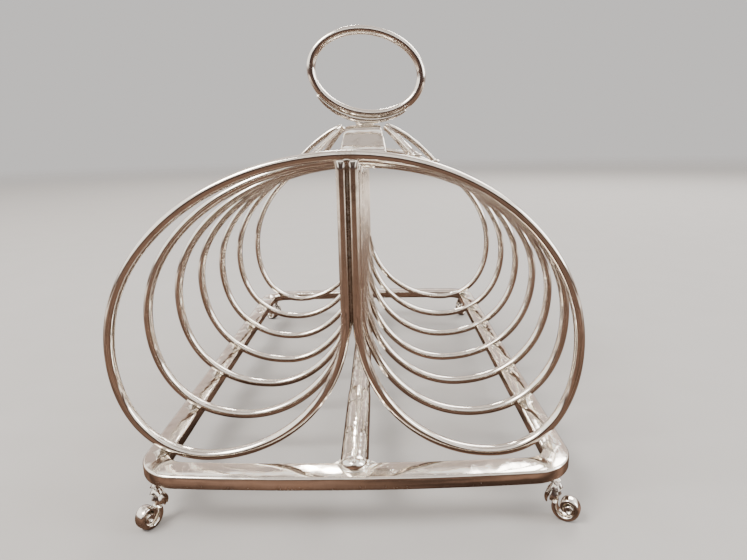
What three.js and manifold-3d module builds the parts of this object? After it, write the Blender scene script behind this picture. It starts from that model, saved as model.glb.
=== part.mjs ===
// Silver toast rack for six slices: a bowed strip frame on four scroll feet, a domed centre rail,
// seven double-lobed wire hoops and a ring handle on a ribbed saddle.
// Units are millimetres, +Z is up, the rack is long in Y and the floor is Z = 0.
// Every piece is drawn about the middle of the base frame, then moved over by MIDDLE_X, because the
// hoops lean to the right and the origin is the middle of the whole rack.
import * as THREE from "three";
import * as BufferGeometryUtils from "three/addons/utils/BufferGeometryUtils.js";
import Module from "manifold-3d";

const wasm = await Module();
wasm.setup();

// clearance kept between neighbouring pieces
const GAP = 0.3;
// how much wider than its piece a cutting solid is
const CUT_SLACK = 0.05;
// where the middle of the base frame is
const MIDDLE_X = -1.48;

// base frame: a flat strip, outer outline HALF_WIDTH by HALF_LENGTH, ends bowed outwards
const FRAME_HALF_WIDTH = 46.5;
const FRAME_HALF_LENGTH = 78.5;
const FRAME_END_BOW = 1.3;
const FRAME_CORNER_RADIUS = 10.0;
const FRAME_SIDE_STRIP = 5.5;
const FRAME_END_STRIP = 6.2;
const FRAME_BOTTOM_Z = 9.5;
const FRAME_TOP_Z = 12.6;
const FRAME_EDGE_ROUND = 0.35;
const FRAME_END_FACETS = 10;
const FRAME_CORNER_FACETS = 7;

// centre rail: domed bar resting on the two end strips
const RAIL_HALF_WIDTH = 3.0;
const RAIL_HEIGHT = 2.3;
const RAIL_FLANK = 0.7;
const RAIL_HALF_LENGTH = 76.6;
const RAIL_FACETS = 7;

// hoops: oval wire, WIRE_IN_PLANE thick across the hoop and WIRE_DEEP along the rack
const HOOP_COUNT = 7;
const WIRE_IN_PLANE = 2.2;
const WIRE_DEEP = 2.6;
const WIRE_SIDES = 8;
const UPRIGHT_OFFSET = 1.18;
const UPRIGHT_FOOT_BELOW_TOP = 32.0;
const UPRIGHT_TOP_INSET = 0.4;
const LOBE_STEPS = 36;
// from the front hoop to the rear one: place along the rack, about 22 apart, and how far the lobes
// lean to the right of the uprights
const HOOP_Y = [-67.0, -44.4, -22.1, 0.0, 22.0, 44.0, 66.0];
const HOOP_LEAN = [-1.9, -0.2, 1.0, 1.6, 1.9, 2.2, 2.6];
// values for the end hoop, its neighbour, the next one and the middle hoop
const LOBE_HALF_WIDTH = [49.8, 52.0, 52.9, 53.5];
const LOBE_WIDEST_Z = [35.2, 35.4, 35.7, 36.0];
const LOBE_BOTTOM_X = [31.0, 28.8, 27.0, 25.6];
const LOBE_BOTTOM_Z = [11.6, 10.2, 9.2, 8.3];
// lengths of a lobe's Bezier handles, as shares of the distance they bridge: down from the upright,
// in to the lowest point, and round the lower corner
const UPRIGHT_PULL = 0.62;
const LOWEST_PULL = 0.5;
const CORNER_PULL = 0.6;
const ARCH_TOP_Z = [75.9, 74.3, 72.8, 72.0];

// handle: an oval ring on a saddle with six ribs; both sit right of the centre line
const SADDLE_X = 1.9;
const RING_X = 3.0;
const RING_HALF_WIDTH = 16.6;
const RING_HALF_HEIGHT = 11.8;
const RING_BAND = 2.7;
const RING_DEEP = 3.4;
const RING_EDGE_ROUND = 0.9;
const RING_SIDES = 40;
const RING_TILT_DEG = -10.5;
const RING_CENTRE_Z = 98.8;
const SADDLE_TOP_HALF_WIDTH = 5.1;
const SADDLE_FOOT_HALF_WIDTH = 6.8;
const SADDLE_THICK = 1.5;
const SADDLE_TOE_DROP = 0.5;
const SADDLE_FOOT_Y = 24.0;
const SADDLE_FOOT_FLAT = 4.2;
const SADDLE_FOOT_Z = 74.3;
const SADDLE_CROWN_Z = 83.7;
const SADDLE_CROWN_FLAT = 3.0;
// the strap's two ogee curves, by how far out their handles reach and how far they rise or dip
const SADDLE_UPPER = { footReach: 13.6, footRise: 0.6, crownReach: 11.2 };
const SADDLE_UNDER = { footReach: 12.6, footRise: 0.4, crownReach: 9.4, crownDip: 0.7 };
const CRADLE_THICK = 1.2;
const CRADLE_END_THICK = 0.35;
const CRADLE_DEEP = 3.0;
const CRADLE_START_DEG = -136;
const CRADLE_SWEEP_DEG = 92;
const CRADLE_STEPS = 16;
const RIB_IN_PLANE = 1.6;
const RIB_DEEP = 1.8;
const RIB_STEPS = 10;
// guide points of a rib on the right-hand rear side, measured from the handle's middle
const SIDE_RIB = [[6.5, 0, 83.4], [10.6, 0, 82.5], [17.6, 0, 77.2], [21.9, 0, 71.8]];
const CORNER_RIB = [[6.5, 2.4, 82.7], [8.2, 7.0, 82.0], [12.6, 15.0, 76.6], [14.6, 21.4, 74.6]];

// feet: scroll legs on the corner diagonals
const FOOT_X = 42.2;
const FOOT_Y = 73.6;
const FOOT_WIDTH = 2.6;
// every foot is set this far off its corner's diagonal, anticlockwise seen from above
const FOOT_TURN_DEG = 16;
const SCROLL_X = 2.5;
const SCROLL_Z = 2.85;
const SCROLL_RADIUS = 2.35;
const SCROLL_END_RADIUS = 0.9;
const SCROLL_BAND = 1.2;
const SCROLL_START_DEG = 150;
const SCROLL_TURN_DEG = 440;
const SCROLL_COIL_DEG = 240;
const SCROLL_LAP_DEG = 10;
const SCROLL_STEPS = 14;
const SCROLL_EYE_X = 3.3;
const SCROLL_EYE_RADIUS = 1.1;
const SCROLL_EYE_WIDTH = 3.0;
const LEAF = { halfSize: [1.6, 1.55, 3.3], x: -0.1, z: 6.5, leanDeg: -4 };
const LEAF_TIP = { halfSize: [0.6, 0.9, 1.6], x: -1.1, z: 4.0, leanDeg: 28 };

const SILVER = { color: 0xd9d6cf, roughness: 0.14, metalness: 1.0 };

// ---------------------------------------------------------------- solids

// positions are rounded to a tenth of a micron, so faces meant to meet share exact corners
function toSolid(geometry) {
  const bare = geometry.clone();
  bare.deleteAttribute("normal");
  bare.deleteAttribute("uv");
  const values = bare.attributes.position.array;
  for (let i = 0; i < values.length; i += 1) {
    values[i] = Math.round(values[i] * 1e4) / 1e4;
  }
  const welded = BufferGeometryUtils.mergeVertices(bare, 1e-4);
  const mesh = new wasm.Mesh({
    numProp: 3,
    vertProperties: new Float32Array(welded.attributes.position.array),
    triVerts: new Uint32Array(welded.index.array),
  });
  return new wasm.Manifold(mesh);
}

function toGeometry(solid) {
  const mesh = solid.getMesh();
  const geometry = new THREE.BufferGeometry();
  geometry.setAttribute("position", new THREE.BufferAttribute(new Float32Array(mesh.vertProperties), 3));
  geometry.setIndex(new THREE.BufferAttribute(new Uint32Array(mesh.triVerts), 1));
  return geometry;
}

function join(geometries) {
  return geometries.map(toSolid).reduce((whole, next) => whole.add(next));
}

function mirrorX(geometry) {
  const copy = geometry.clone();
  copy.scale(-1, 1, 1);
  const position = copy.attributes.position;
  if (!copy.index) {
    copy.setIndex([...Array(position.count).keys()]);
  }
  const index = copy.index.array;
  for (let i = 0; i < index.length; i += 3) {
    const first = index[i];
    index[i] = index[i + 1];
    index[i + 1] = first;
  }
  return copy;
}

function addPiece(group, name, geometry) {
  geometry.translate(MIDDLE_X, 0, 0);
  geometry.computeVertexNormals();
  const mesh = new THREE.Mesh(geometry, new THREE.MeshStandardMaterial(SILVER));
  mesh.name = name;
  group.add(mesh);
}

// an oval with its long way along the sweep's normal and its short way in the bend's plane
function ovalSection(deep, inPlane, sides) {
  const shape = new THREE.Shape();
  for (let i = 0; i < sides; i += 1) {
    const angle = (2 * Math.PI * (i + 0.5)) / sides;
    const grow = 1 / Math.cos(Math.PI / sides);
    const x = 0.5 * deep * grow * Math.cos(angle);
    const y = 0.5 * inPlane * grow * Math.sin(angle);
    if (i === 0) shape.moveTo(x, y);
    else shape.lineTo(x, y);
  }
  shape.closePath();
  return shape;
}

function sweep(section, path, steps) {
  return new THREE.ExtrudeGeometry(section, { steps, extrudePath: path, bevelEnabled: false });
}

// ---------------------------------------------------------------- base frame

// rounded rectangle with its two short ends bowed outwards by `bow`
function bowedOutline(halfWidth, halfLength, radius, bow) {
  const outline = [];
  const reach = halfWidth - radius;
  for (const side of [1, -1]) {
    for (let i = 0; i <= FRAME_END_FACETS; i += 1) {
      const x = side * reach * (1 - (2 * i) / FRAME_END_FACETS);
      outline.push(new THREE.Vector2(-x, side * (halfLength - bow * (x / reach) ** 2)));
    }
    const cx = side * reach;
    const cy = side * (halfLength - bow - radius);
    for (let i = 1; i <= FRAME_CORNER_FACETS; i += 1) {
      const angle = (Math.PI / 2) * (1 - i / FRAME_CORNER_FACETS);
      const x = cx + side * radius * Math.cos(angle);
      const y = cy + side * radius * Math.sin(angle);
      outline.push(new THREE.Vector2(x, y));
    }
    for (let i = 0; i < FRAME_CORNER_FACETS; i += 1) {
      const angle = (-Math.PI / 2) * (i / FRAME_CORNER_FACETS);
      const x = cx + side * radius * Math.cos(angle);
      const y = -cy + side * radius * Math.sin(angle);
      outline.push(new THREE.Vector2(x, y));
    }
  }
  return outline;
}

function baseFrame() {
  const outer = bowedOutline(FRAME_HALF_WIDTH, FRAME_HALF_LENGTH, FRAME_CORNER_RADIUS, FRAME_END_BOW);
  const inner = bowedOutline(
    FRAME_HALF_WIDTH - FRAME_SIDE_STRIP,
    FRAME_HALF_LENGTH - FRAME_END_STRIP,
    FRAME_CORNER_RADIUS - FRAME_SIDE_STRIP,
    FRAME_END_BOW
  );
  const shape = new THREE.Shape(outer);
  shape.holes.push(new THREE.Path(inner.reverse()));
  const geometry = new THREE.ExtrudeGeometry(shape, {
    depth: FRAME_TOP_Z - FRAME_BOTTOM_Z - 2 * FRAME_EDGE_ROUND,
    bevelEnabled: true,
    bevelThickness: FRAME_EDGE_ROUND,
    bevelSize: FRAME_EDGE_ROUND,
    bevelOffset: -FRAME_EDGE_ROUND,
    bevelSegments: 1,
  });
  geometry.translate(0, 0, FRAME_BOTTOM_Z + FRAME_EDGE_ROUND);
  return geometry;
}

// ---------------------------------------------------------------- centre rail

// a half-round bar whose two ends are rounded off in plan like tongues
function centreRail() {
  const section = new THREE.Shape();
  section.moveTo(-RAIL_HALF_WIDTH, 0);
  section.lineTo(RAIL_HALF_WIDTH, 0);
  section.lineTo(RAIL_HALF_WIDTH, RAIL_FLANK);
  for (let i = 1; i < RAIL_FACETS; i += 1) {
    const angle = (Math.PI * i) / RAIL_FACETS;
    const x = RAIL_HALF_WIDTH * Math.cos(angle);
    section.lineTo(x, RAIL_FLANK + (RAIL_HEIGHT - RAIL_FLANK) * Math.sin(angle));
  }
  section.lineTo(-RAIL_HALF_WIDTH, RAIL_FLANK);
  section.closePath();
  const bar = new THREE.ExtrudeGeometry(section, { depth: 2 * RAIL_HALF_LENGTH, bevelEnabled: false });
  bar.rotateX(Math.PI / 2);
  bar.translate(0, RAIL_HALF_LENGTH, 0);
  const plan = new THREE.Shape();
  const straight = RAIL_HALF_LENGTH - RAIL_HALF_WIDTH;
  plan.absarc(0, straight, RAIL_HALF_WIDTH + CUT_SLACK, 0, Math.PI, false);
  plan.absarc(0, -straight, RAIL_HALF_WIDTH + CUT_SLACK, Math.PI, 2 * Math.PI, false);
  plan.closePath();
  const tongue = new THREE.ExtrudeGeometry(plan, {
    depth: 3 * RAIL_HEIGHT,
    bevelEnabled: false,
    curveSegments: 8,
  });
  tongue.translate(0, 0, -RAIL_HEIGHT);
  const rail = toGeometry(toSolid(bar).intersect(toSolid(tongue)));
  rail.translate(0, 0, FRAME_TOP_Z + GAP);
  return rail;
}

// ---------------------------------------------------------------- hoops

// a Bezier handle of this share of the radius draws a quarter of an ellipse
const QUARTER_ARC = 0.5523;

function bezier(points) {
  const [a, b, c, d] = points.map(([x, z]) => new THREE.Vector3(x, 0, z));
  return new THREE.CubicBezierCurve3(a, b, c, d);
}

// right-hand lobe: from the foot of the upright, round the lobe and up to the middle of the arch;
// `lean` is how much wider than the hoop's own half width this lobe is
function lobePath(rank, lean) {
  const width = LOBE_HALF_WIDTH[rank] + lean;
  const widestZ = LOBE_WIDEST_Z[rank];
  const bottomX = LOBE_BOTTOM_X[rank] * (width / LOBE_HALF_WIDTH[rank]);
  const bottomZ = LOBE_BOTTOM_Z[rank];
  const topZ = ARCH_TOP_Z[rank];
  const footZ = topZ - UPRIGHT_FOOT_BELOW_TOP;
  const inner = bottomX - UPRIGHT_OFFSET;
  const outer = width - bottomX;
  const path = new THREE.CurvePath();
  path.add(bezier([
    [UPRIGHT_OFFSET, footZ],
    [UPRIGHT_OFFSET, footZ - UPRIGHT_PULL * (footZ - bottomZ)],
    [bottomX - LOWEST_PULL * inner, bottomZ],
    [bottomX, bottomZ],
  ]));
  path.add(bezier([
    [bottomX, bottomZ],
    [bottomX + CORNER_PULL * outer, bottomZ],
    [width, widestZ - CORNER_PULL * (widestZ - bottomZ)],
    [width, widestZ],
  ]));
  path.add(bezier([
    [width, widestZ],
    [width, widestZ + QUARTER_ARC * (topZ - widestZ)],
    [QUARTER_ARC * width, topZ],
    [0, topZ],
  ]));
  return path;
}

function hoop(rank, lean) {
  const section = ovalSection(WIRE_DEEP, WIRE_IN_PLANE, WIRE_SIDES);
  const rightLobe = sweep(section, lobePath(rank, lean), LOBE_STEPS);
  const leftLobe = mirrorX(sweep(section, lobePath(rank, -lean), LOBE_STEPS));
  const topZ = ARCH_TOP_Z[rank];
  const upright = sweep(
    section,
    new THREE.LineCurve3(
      new THREE.Vector3(UPRIGHT_OFFSET, 0, topZ - UPRIGHT_TOP_INSET),
      new THREE.Vector3(UPRIGHT_OFFSET, 0, topZ - UPRIGHT_FOOT_BELOW_TOP)
    ),
    1
  );
  return join([rightLobe, leftLobe, upright, mirrorX(upright)]);
}

// the wire is filed flat where it sits on the two side strips
function railSeats() {
  const height = 2 * WIRE_IN_PLANE;
  const seat = new THREE.BoxGeometry(FRAME_SIDE_STRIP + 2 * GAP, 2 * WIRE_DEEP, height);
  const x = FRAME_HALF_WIDTH - FRAME_SIDE_STRIP / 2;
  const z = FRAME_TOP_Z + GAP - height / 2;
  const right = seat.clone().translate(x, 0, z);
  const left = seat.clone().translate(-x, 0, z);
  return toSolid(right).add(toSolid(left));
}

function addHoops(group) {
  const seats = railSeats();
  for (let i = 0; i < HOOP_COUNT; i += 1) {
    const rank = Math.min(i, HOOP_COUNT - 1 - i);
    const geometry = toGeometry(hoop(rank, HOOP_LEAN[i]).subtract(seats));
    geometry.translate(0, HOOP_Y[i], 0);
    addPiece(group, `hoop_${i + 1}`, geometry);
  }
}

// ---------------------------------------------------------------- handle

const RING_TILT = THREE.MathUtils.degToRad(RING_TILT_DEG);

function ovalPoints(halfWidth, halfHeight, count) {
  const points = [];
  for (let i = 0; i < count; i += 1) {
    const angle = (2 * Math.PI * i) / count;
    points.push(new THREE.Vector2(halfWidth * Math.cos(angle), halfHeight * Math.sin(angle)));
  }
  return points;
}

// stands a shape drawn flat round the ring's centre up in the ring's place, left side a little high
function placeHandle(geometry) {
  geometry.rotateX(Math.PI / 2);
  geometry.rotateY(-RING_TILT);
  geometry.translate(RING_X, 0, RING_CENTRE_Z);
  return geometry;
}

function handleRing() {
  const half = RING_BAND / 2;
  const shape = new THREE.Shape(ovalPoints(RING_HALF_WIDTH + half, RING_HALF_HEIGHT + half, RING_SIDES));
  const hole = ovalPoints(RING_HALF_WIDTH - half, RING_HALF_HEIGHT - half, RING_SIDES);
  shape.holes.push(new THREE.Path(hole.reverse()));
  const flat = RING_DEEP - 2 * RING_EDGE_ROUND;
  const ring = new THREE.ExtrudeGeometry(shape, {
    depth: flat,
    bevelEnabled: true,
    bevelThickness: RING_EDGE_ROUND,
    bevelSize: RING_EDGE_ROUND,
    bevelOffset: -RING_EDGE_ROUND,
    bevelSegments: 2,
  });
  ring.translate(0, 0, -flat / 2);
  return placeHandle(ring);
}

// a crescent hugging the underside of the ring
function ringCradle() {
  const startAngle = THREE.MathUtils.degToRad(CRADLE_START_DEG);
  const sweepAngle = THREE.MathUtils.degToRad(CRADLE_SWEEP_DEG);
  const clear = RING_BAND / 2 + GAP;
  const upper = [];
  const lower = [];
  for (let i = 0; i <= CRADLE_STEPS; i += 1) {
    const share = i / CRADLE_STEPS;
    const angle = startAngle + sweepAngle * share;
    const thick = CRADLE_END_THICK + (CRADLE_THICK - CRADLE_END_THICK) * Math.sin(Math.PI * share);
    const unit = new THREE.Vector2(Math.cos(angle), Math.sin(angle));
    upper.push(new THREE.Vector2(
      (RING_HALF_WIDTH + clear) * unit.x,
      (RING_HALF_HEIGHT + clear) * unit.y
    ));
    lower.push(new THREE.Vector2(
      (RING_HALF_WIDTH + clear + thick) * unit.x,
      (RING_HALF_HEIGHT + clear + thick) * unit.y
    ));
  }
  const shape = new THREE.Shape(lower.concat(upper.reverse()));
  const cradle = new THREE.ExtrudeGeometry(shape, { depth: CRADLE_DEEP, bevelEnabled: false });
  cradle.translate(0, 0, -CRADLE_DEEP / 2);
  return placeHandle(cradle);
}

// side view of the strap, with the rack's length as X: an ogee arch on two flat feet
function saddleProfile() {
  const footTopZ = SADDLE_FOOT_Z + SADDLE_THICK;
  const underZ = SADDLE_CROWN_Z - SADDLE_THICK;
  const bend = SADDLE_FOOT_Y - SADDLE_FOOT_FLAT;
  const toeZ = footTopZ - SADDLE_TOE_DROP;
  const upperFootZ = footTopZ + SADDLE_UPPER.footRise;
  const underFootZ = SADDLE_FOOT_Z + SADDLE_UNDER.footRise;
  const underCrownZ = underZ - SADDLE_UNDER.crownDip;
  const profile = new THREE.Shape();
  profile.moveTo(-SADDLE_FOOT_Y, SADDLE_FOOT_Z);
  profile.lineTo(-bend, SADDLE_FOOT_Z);
  profile.bezierCurveTo(
    -SADDLE_UNDER.footReach, underFootZ,
    -SADDLE_UNDER.crownReach, underCrownZ,
    0, underZ
  );
  profile.bezierCurveTo(
    SADDLE_UNDER.crownReach, underCrownZ,
    SADDLE_UNDER.footReach, underFootZ,
    bend, SADDLE_FOOT_Z
  );
  profile.lineTo(SADDLE_FOOT_Y, SADDLE_FOOT_Z);
  profile.lineTo(SADDLE_FOOT_Y, toeZ);
  profile.lineTo(bend, footTopZ);
  profile.bezierCurveTo(
    SADDLE_UPPER.footReach, upperFootZ,
    SADDLE_UPPER.crownReach, SADDLE_CROWN_Z,
    SADDLE_CROWN_FLAT, SADDLE_CROWN_Z
  );
  profile.lineTo(-SADDLE_CROWN_FLAT, SADDLE_CROWN_Z);
  profile.bezierCurveTo(
    -SADDLE_UPPER.crownReach, SADDLE_CROWN_Z,
    -SADDLE_UPPER.footReach, upperFootZ,
    -bend, footTopZ
  );
  profile.lineTo(-SADDLE_FOOT_Y, toeZ);
  profile.closePath();
  return profile;
}

// plan of the strap: narrow at the crown and splayed at the feet
function saddlePlan() {
  const end = SADDLE_FOOT_Y + 1;
  const bend = SADDLE_FOOT_Y - SADDLE_FOOT_FLAT;
  const waist = bend / 2;
  const plan = new THREE.Shape();
  plan.moveTo(-SADDLE_FOOT_HALF_WIDTH, -end);
  plan.lineTo(SADDLE_FOOT_HALF_WIDTH, -end);
  plan.lineTo(SADDLE_FOOT_HALF_WIDTH, -bend);
  plan.quadraticCurveTo(SADDLE_TOP_HALF_WIDTH, -waist, SADDLE_TOP_HALF_WIDTH, 0);
  plan.quadraticCurveTo(SADDLE_TOP_HALF_WIDTH, waist, SADDLE_FOOT_HALF_WIDTH, bend);
  plan.lineTo(SADDLE_FOOT_HALF_WIDTH, end);
  plan.lineTo(-SADDLE_FOOT_HALF_WIDTH, end);
  plan.lineTo(-SADDLE_FOOT_HALF_WIDTH, bend);
  plan.quadraticCurveTo(-SADDLE_TOP_HALF_WIDTH, waist, -SADDLE_TOP_HALF_WIDTH, 0);
  plan.quadraticCurveTo(-SADDLE_TOP_HALF_WIDTH, -waist, -SADDLE_FOOT_HALF_WIDTH, -bend);
  plan.closePath();
  return plan;
}

// the strap runs along the rack from the third hoop to the fifth, with its crown under the ring
function handleSaddle() {
  const span = 2 * SADDLE_FOOT_HALF_WIDTH + 2;
  const strap = new THREE.ExtrudeGeometry(saddleProfile(), {
    depth: span,
    bevelEnabled: false,
    curveSegments: 8,
  });
  strap.translate(0, 0, -span / 2);
  strap.rotateX(Math.PI / 2);
  strap.rotateZ(Math.PI / 2);
  const rise = SADDLE_CROWN_Z - SADDLE_FOOT_Z;
  const cutter = new THREE.ExtrudeGeometry(saddlePlan(), {
    depth: 3 * rise,
    bevelEnabled: false,
    curveSegments: 5,
  });
  cutter.translate(0, 0, SADDLE_FOOT_Z - rise);
  const saddle = toGeometry(toSolid(strap).intersect(toSolid(cutter)));
  saddle.translate(SADDLE_X, 0, 0);
  return saddle;
}

// one rib from beside the saddle's crown down to a hoop, given by four guide points
function rib(points, sideX, sideY) {
  const [a, b, c, d] = points.map(([x, y, z]) => new THREE.Vector3(sideX * x, sideY * y, z));
  const path = new THREE.CubicBezierCurve3(a, b, c, d);
  const geometry = sweep(ovalSection(RIB_DEEP, RIB_IN_PLANE, WIRE_SIDES), path, RIB_STEPS);
  geometry.translate(SADDLE_X, 0, 0);
  return geometry;
}

function addRibs(group) {
  addPiece(group, "rib_left", rib(SIDE_RIB, -1, 1));
  addPiece(group, "rib_right", rib(SIDE_RIB, 1, 1));
  for (const [end, sideY] of [["front", -1], ["rear", 1]]) {
    for (const [side, sideX] of [["left", -1], ["right", 1]]) {
      addPiece(group, `rib_${end}_${side}`, rib(CORNER_RIB, sideX, sideY));
    }
  }
}

// ---------------------------------------------------------------- feet

// a stretch of a foot's rolled strip: down the inner side, round the bottom and in towards the eye
class ScrollCurve extends THREE.Curve {
  constructor(startDeg, endDeg) {
    super();
    this.startDeg = startDeg;
    this.endDeg = endDeg;
  }

  getPoint(t) {
    const turnDeg = this.startDeg + (this.endDeg - this.startDeg) * t;
    const turn = THREE.MathUtils.degToRad(turnDeg);
    const coil = Math.max(0, (turnDeg - 360) / SCROLL_COIL_DEG);
    const radius = SCROLL_RADIUS - (SCROLL_RADIUS - SCROLL_END_RADIUS) * coil;
    return new THREE.Vector3(
      SCROLL_X + (SCROLL_EYE_X - SCROLL_X) * coil + radius * Math.cos(turn),
      0,
      SCROLL_Z + radius * Math.sin(turn)
    );
  }
}

function ellipsoid({ halfSize, x, z, leanDeg }) {
  const geometry = new THREE.SphereGeometry(1, 10, 8);
  geometry.rotateX(Math.PI / 2);
  geometry.scale(...halfSize);
  geometry.rotateY(THREE.MathUtils.degToRad(leanDeg));
  geometry.translate(x, 0, z);
  return geometry;
}

// foot in its own frame: X outwards from the leaf to the scroll, standing on Z = 0
function footSolid() {
  const section = new THREE.Shape();
  section.moveTo(-FOOT_WIDTH / 2, -SCROLL_BAND / 2);
  section.lineTo(FOOT_WIDTH / 2, -SCROLL_BAND / 2);
  section.lineTo(FOOT_WIDTH / 2, SCROLL_BAND / 2);
  section.lineTo(-FOOT_WIDTH / 2, SCROLL_BAND / 2);
  section.closePath();
  const half = SCROLL_START_DEG + SCROLL_TURN_DEG / 2;
  const end = SCROLL_START_DEG + SCROLL_TURN_DEG;
  const outerBand = sweep(section, new ScrollCurve(SCROLL_START_DEG, half), SCROLL_STEPS);
  const innerBand = sweep(section, new ScrollCurve(half - SCROLL_LAP_DEG, end), SCROLL_STEPS);
  const eye = new THREE.CylinderGeometry(SCROLL_EYE_RADIUS, SCROLL_EYE_RADIUS, SCROLL_EYE_WIDTH, 12);
  eye.translate(SCROLL_EYE_X, 0, SCROLL_Z);
  const leaf = ellipsoid(LEAF);
  const leafTip = ellipsoid(LEAF_TIP);
  const height = FRAME_BOTTOM_Z - GAP;
  const envelope = new THREE.BoxGeometry(2 * height, 2 * height, height);
  envelope.translate(0, 0, height / 2);
  return join([outerBand, innerBand, eye, leaf, leafTip]).intersect(toSolid(envelope));
}

function addFeet(group) {
  const solid = footSolid();
  for (const [end, sideY] of [["front", -1], ["rear", 1]]) {
    for (const [side, sideX] of [["left", -1], ["right", 1]]) {
      const geometry = toGeometry(solid);
      geometry.rotateZ(Math.atan2(sideY, sideX) + THREE.MathUtils.degToRad(FOOT_TURN_DEG));
      geometry.translate(sideX * FOOT_X, sideY * FOOT_Y, 0);
      addPiece(group, `foot_${end}_${side}`, geometry);
    }
  }
}

// ---------------------------------------------------------------- whole rack

const group = new THREE.Group();
group.name = "toast_rack";
addPiece(group, "base_frame", baseFrame());
addPiece(group, "centre_rail", centreRail());
addHoops(group);
addPiece(group, "handle_ring", handleRing());
addPiece(group, "ring_cradle", ringCradle());
addPiece(group, "handle_saddle", handleSaddle());
addRibs(group);
addFeet(group);

export default group;
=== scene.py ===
"""Silver toast rack: smooth silver-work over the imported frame, on a pale studio floor."""
import math

import bmesh
import bpy
from mathutils import Matrix, Vector, noise

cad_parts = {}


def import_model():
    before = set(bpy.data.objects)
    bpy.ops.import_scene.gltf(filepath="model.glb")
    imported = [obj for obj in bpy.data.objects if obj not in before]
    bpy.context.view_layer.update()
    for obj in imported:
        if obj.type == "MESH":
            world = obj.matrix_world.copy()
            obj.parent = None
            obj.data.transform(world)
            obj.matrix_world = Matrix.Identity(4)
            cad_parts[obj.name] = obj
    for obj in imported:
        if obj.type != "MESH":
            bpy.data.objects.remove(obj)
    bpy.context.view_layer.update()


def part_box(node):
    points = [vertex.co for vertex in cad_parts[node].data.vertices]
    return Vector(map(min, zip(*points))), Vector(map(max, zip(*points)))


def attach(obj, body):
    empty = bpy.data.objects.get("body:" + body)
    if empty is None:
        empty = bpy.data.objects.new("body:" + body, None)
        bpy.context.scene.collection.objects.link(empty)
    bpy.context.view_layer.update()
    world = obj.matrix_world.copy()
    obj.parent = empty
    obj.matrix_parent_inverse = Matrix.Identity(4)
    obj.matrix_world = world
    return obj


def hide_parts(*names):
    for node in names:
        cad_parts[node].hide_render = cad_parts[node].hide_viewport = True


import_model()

# The rack's lengths are in millimetres. MM turns them into metres when a mesh is made.
MM = 0.001

# Everything is drawn about the middle of the base frame, which is a little left of the origin.
MIDDLE = (Vector(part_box("base_frame")[0]) + Vector(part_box("base_frame")[1])) / 2 / MM
MIDDLE = Vector((MIDDLE.x, 0, 0))
ALONG_RACK = Vector((0, 1, 0))

# wire of the hoops: half sizes across the hoop and along the rack
WIRE_IN_PLANE = 1.1
WIRE_DEEP = 1.3
HOOP_COUNT = 7
HOOP_STEP = 0.75
# values for the end hoop, its neighbour, the next one and the middle hoop
LOBE_WIDEST_Z = (35.2, 35.4, 35.7, 36.0)
LOBE_BOTTOM_X = (31.0, 28.8, 27.0, 25.6)
UPRIGHT_OFFSET = 1.18
UPRIGHT_FOOT_BELOW_TOP = 32.0
# lengths of a lobe's Bezier handles, as shares of the distance they bridge: down from the upright,
# in to the lowest point, round the lower corner, and over the arch as a quarter of an ellipse
UPRIGHT_PULL = 0.62
LOWEST_PULL = 0.5
CORNER_PULL = 0.6
ARCH_PULL = 0.5523

# base frame
FRAME_SIDE_STRIP = 5.5
FRAME_END_STRIP = 6.2
FRAME_END_BOW = 1.3
FRAME_CORNER_RADIUS = 10.0
FRAME_CROWN = 0.1
RAIL_SINK = 0.25

# handle
SADDLE_X = 1.9
RING_X = 3.0
RING_HALF_WIDTH = 16.6
RING_HALF_HEIGHT = 11.8
RING_HALF_BAND = 1.35
RING_HALF_DEEP = 1.7
RING_TILT = math.radians(10.5)
RING_CENTRE_Z = 98.8
SADDLE_TOP_HALF_WIDTH = 5.1
SADDLE_FOOT_HALF_WIDTH = 6.8
SADDLE_THICK = 1.5
SADDLE_FOOT_FLAT = 4.2
CRADLE_THICK = 1.2
CRADLE_END_THICK = 0.35
CRADLE_HALF_DEEP = 1.5
RIB_HALF_IN_PLANE = 0.8
RIB_HALF_DEEP = 0.9
SIDE_RIB = ((6.5, 0, 83.4), (10.6, 0, 82.5), (17.6, 0, 77.2), (21.9, 0, 71.8))
CORNER_RIB = ((6.5, 2.4, 82.7), (8.2, 7.0, 82.0), (12.6, 15.0, 76.6), (14.6, 21.4, 74.6))

# feet, in their own frame: X outwards from the leaf to the scroll, Z up
FOOT_X = 42.2
FOOT_Y = 73.6
# every foot is set this far off its corner's diagonal, anticlockwise seen from above
FOOT_TURN = math.radians(16)
SCROLL_X = 2.5
SCROLL_EYE_X = 3.3
SCROLL_Z = 2.85
SCROLL_RADIUS = 2.35
SCROLL_END_RADIUS = 0.9
SCROLL_HALF_BAND = 0.6
SCROLL_HALF_WIDTH = 1.3
SCROLL_START = math.radians(150)
SCROLL_TURN = math.radians(440)
SCROLL_COIL_DEG = 240

# acanthus leaf over each foot's scroll
LEAF_TIERS = 4.0
LEAF_FOOT_Z = 3.4
LEAF_INTO_FRAME = 0.35


# ------------------------------------------------------------------ mesh kit


def mm_box(node):
    """Lowest and highest corner of a CAD node, in millimetres from the base frame's middle."""
    low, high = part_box(node)
    return Vector(low) / MM - MIDDLE, Vector(high) / MM - MIDDLE


def wobble(place, scale, seed):
    """Smooth noise from -1 to 1 at a place in millimetres; scale is its size in millimetres."""
    return noise.noise(Vector(place) / scale + Vector((seed * 7.3, seed * 3.1, seed * 5.7)))


def smooth_step(low, high, value):
    """0 below low, 1 above high and a soft step between."""
    share = min(1.0, max(0.0, (value - low) / (high - low)))
    return share * share * (3 - 2 * share)


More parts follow.
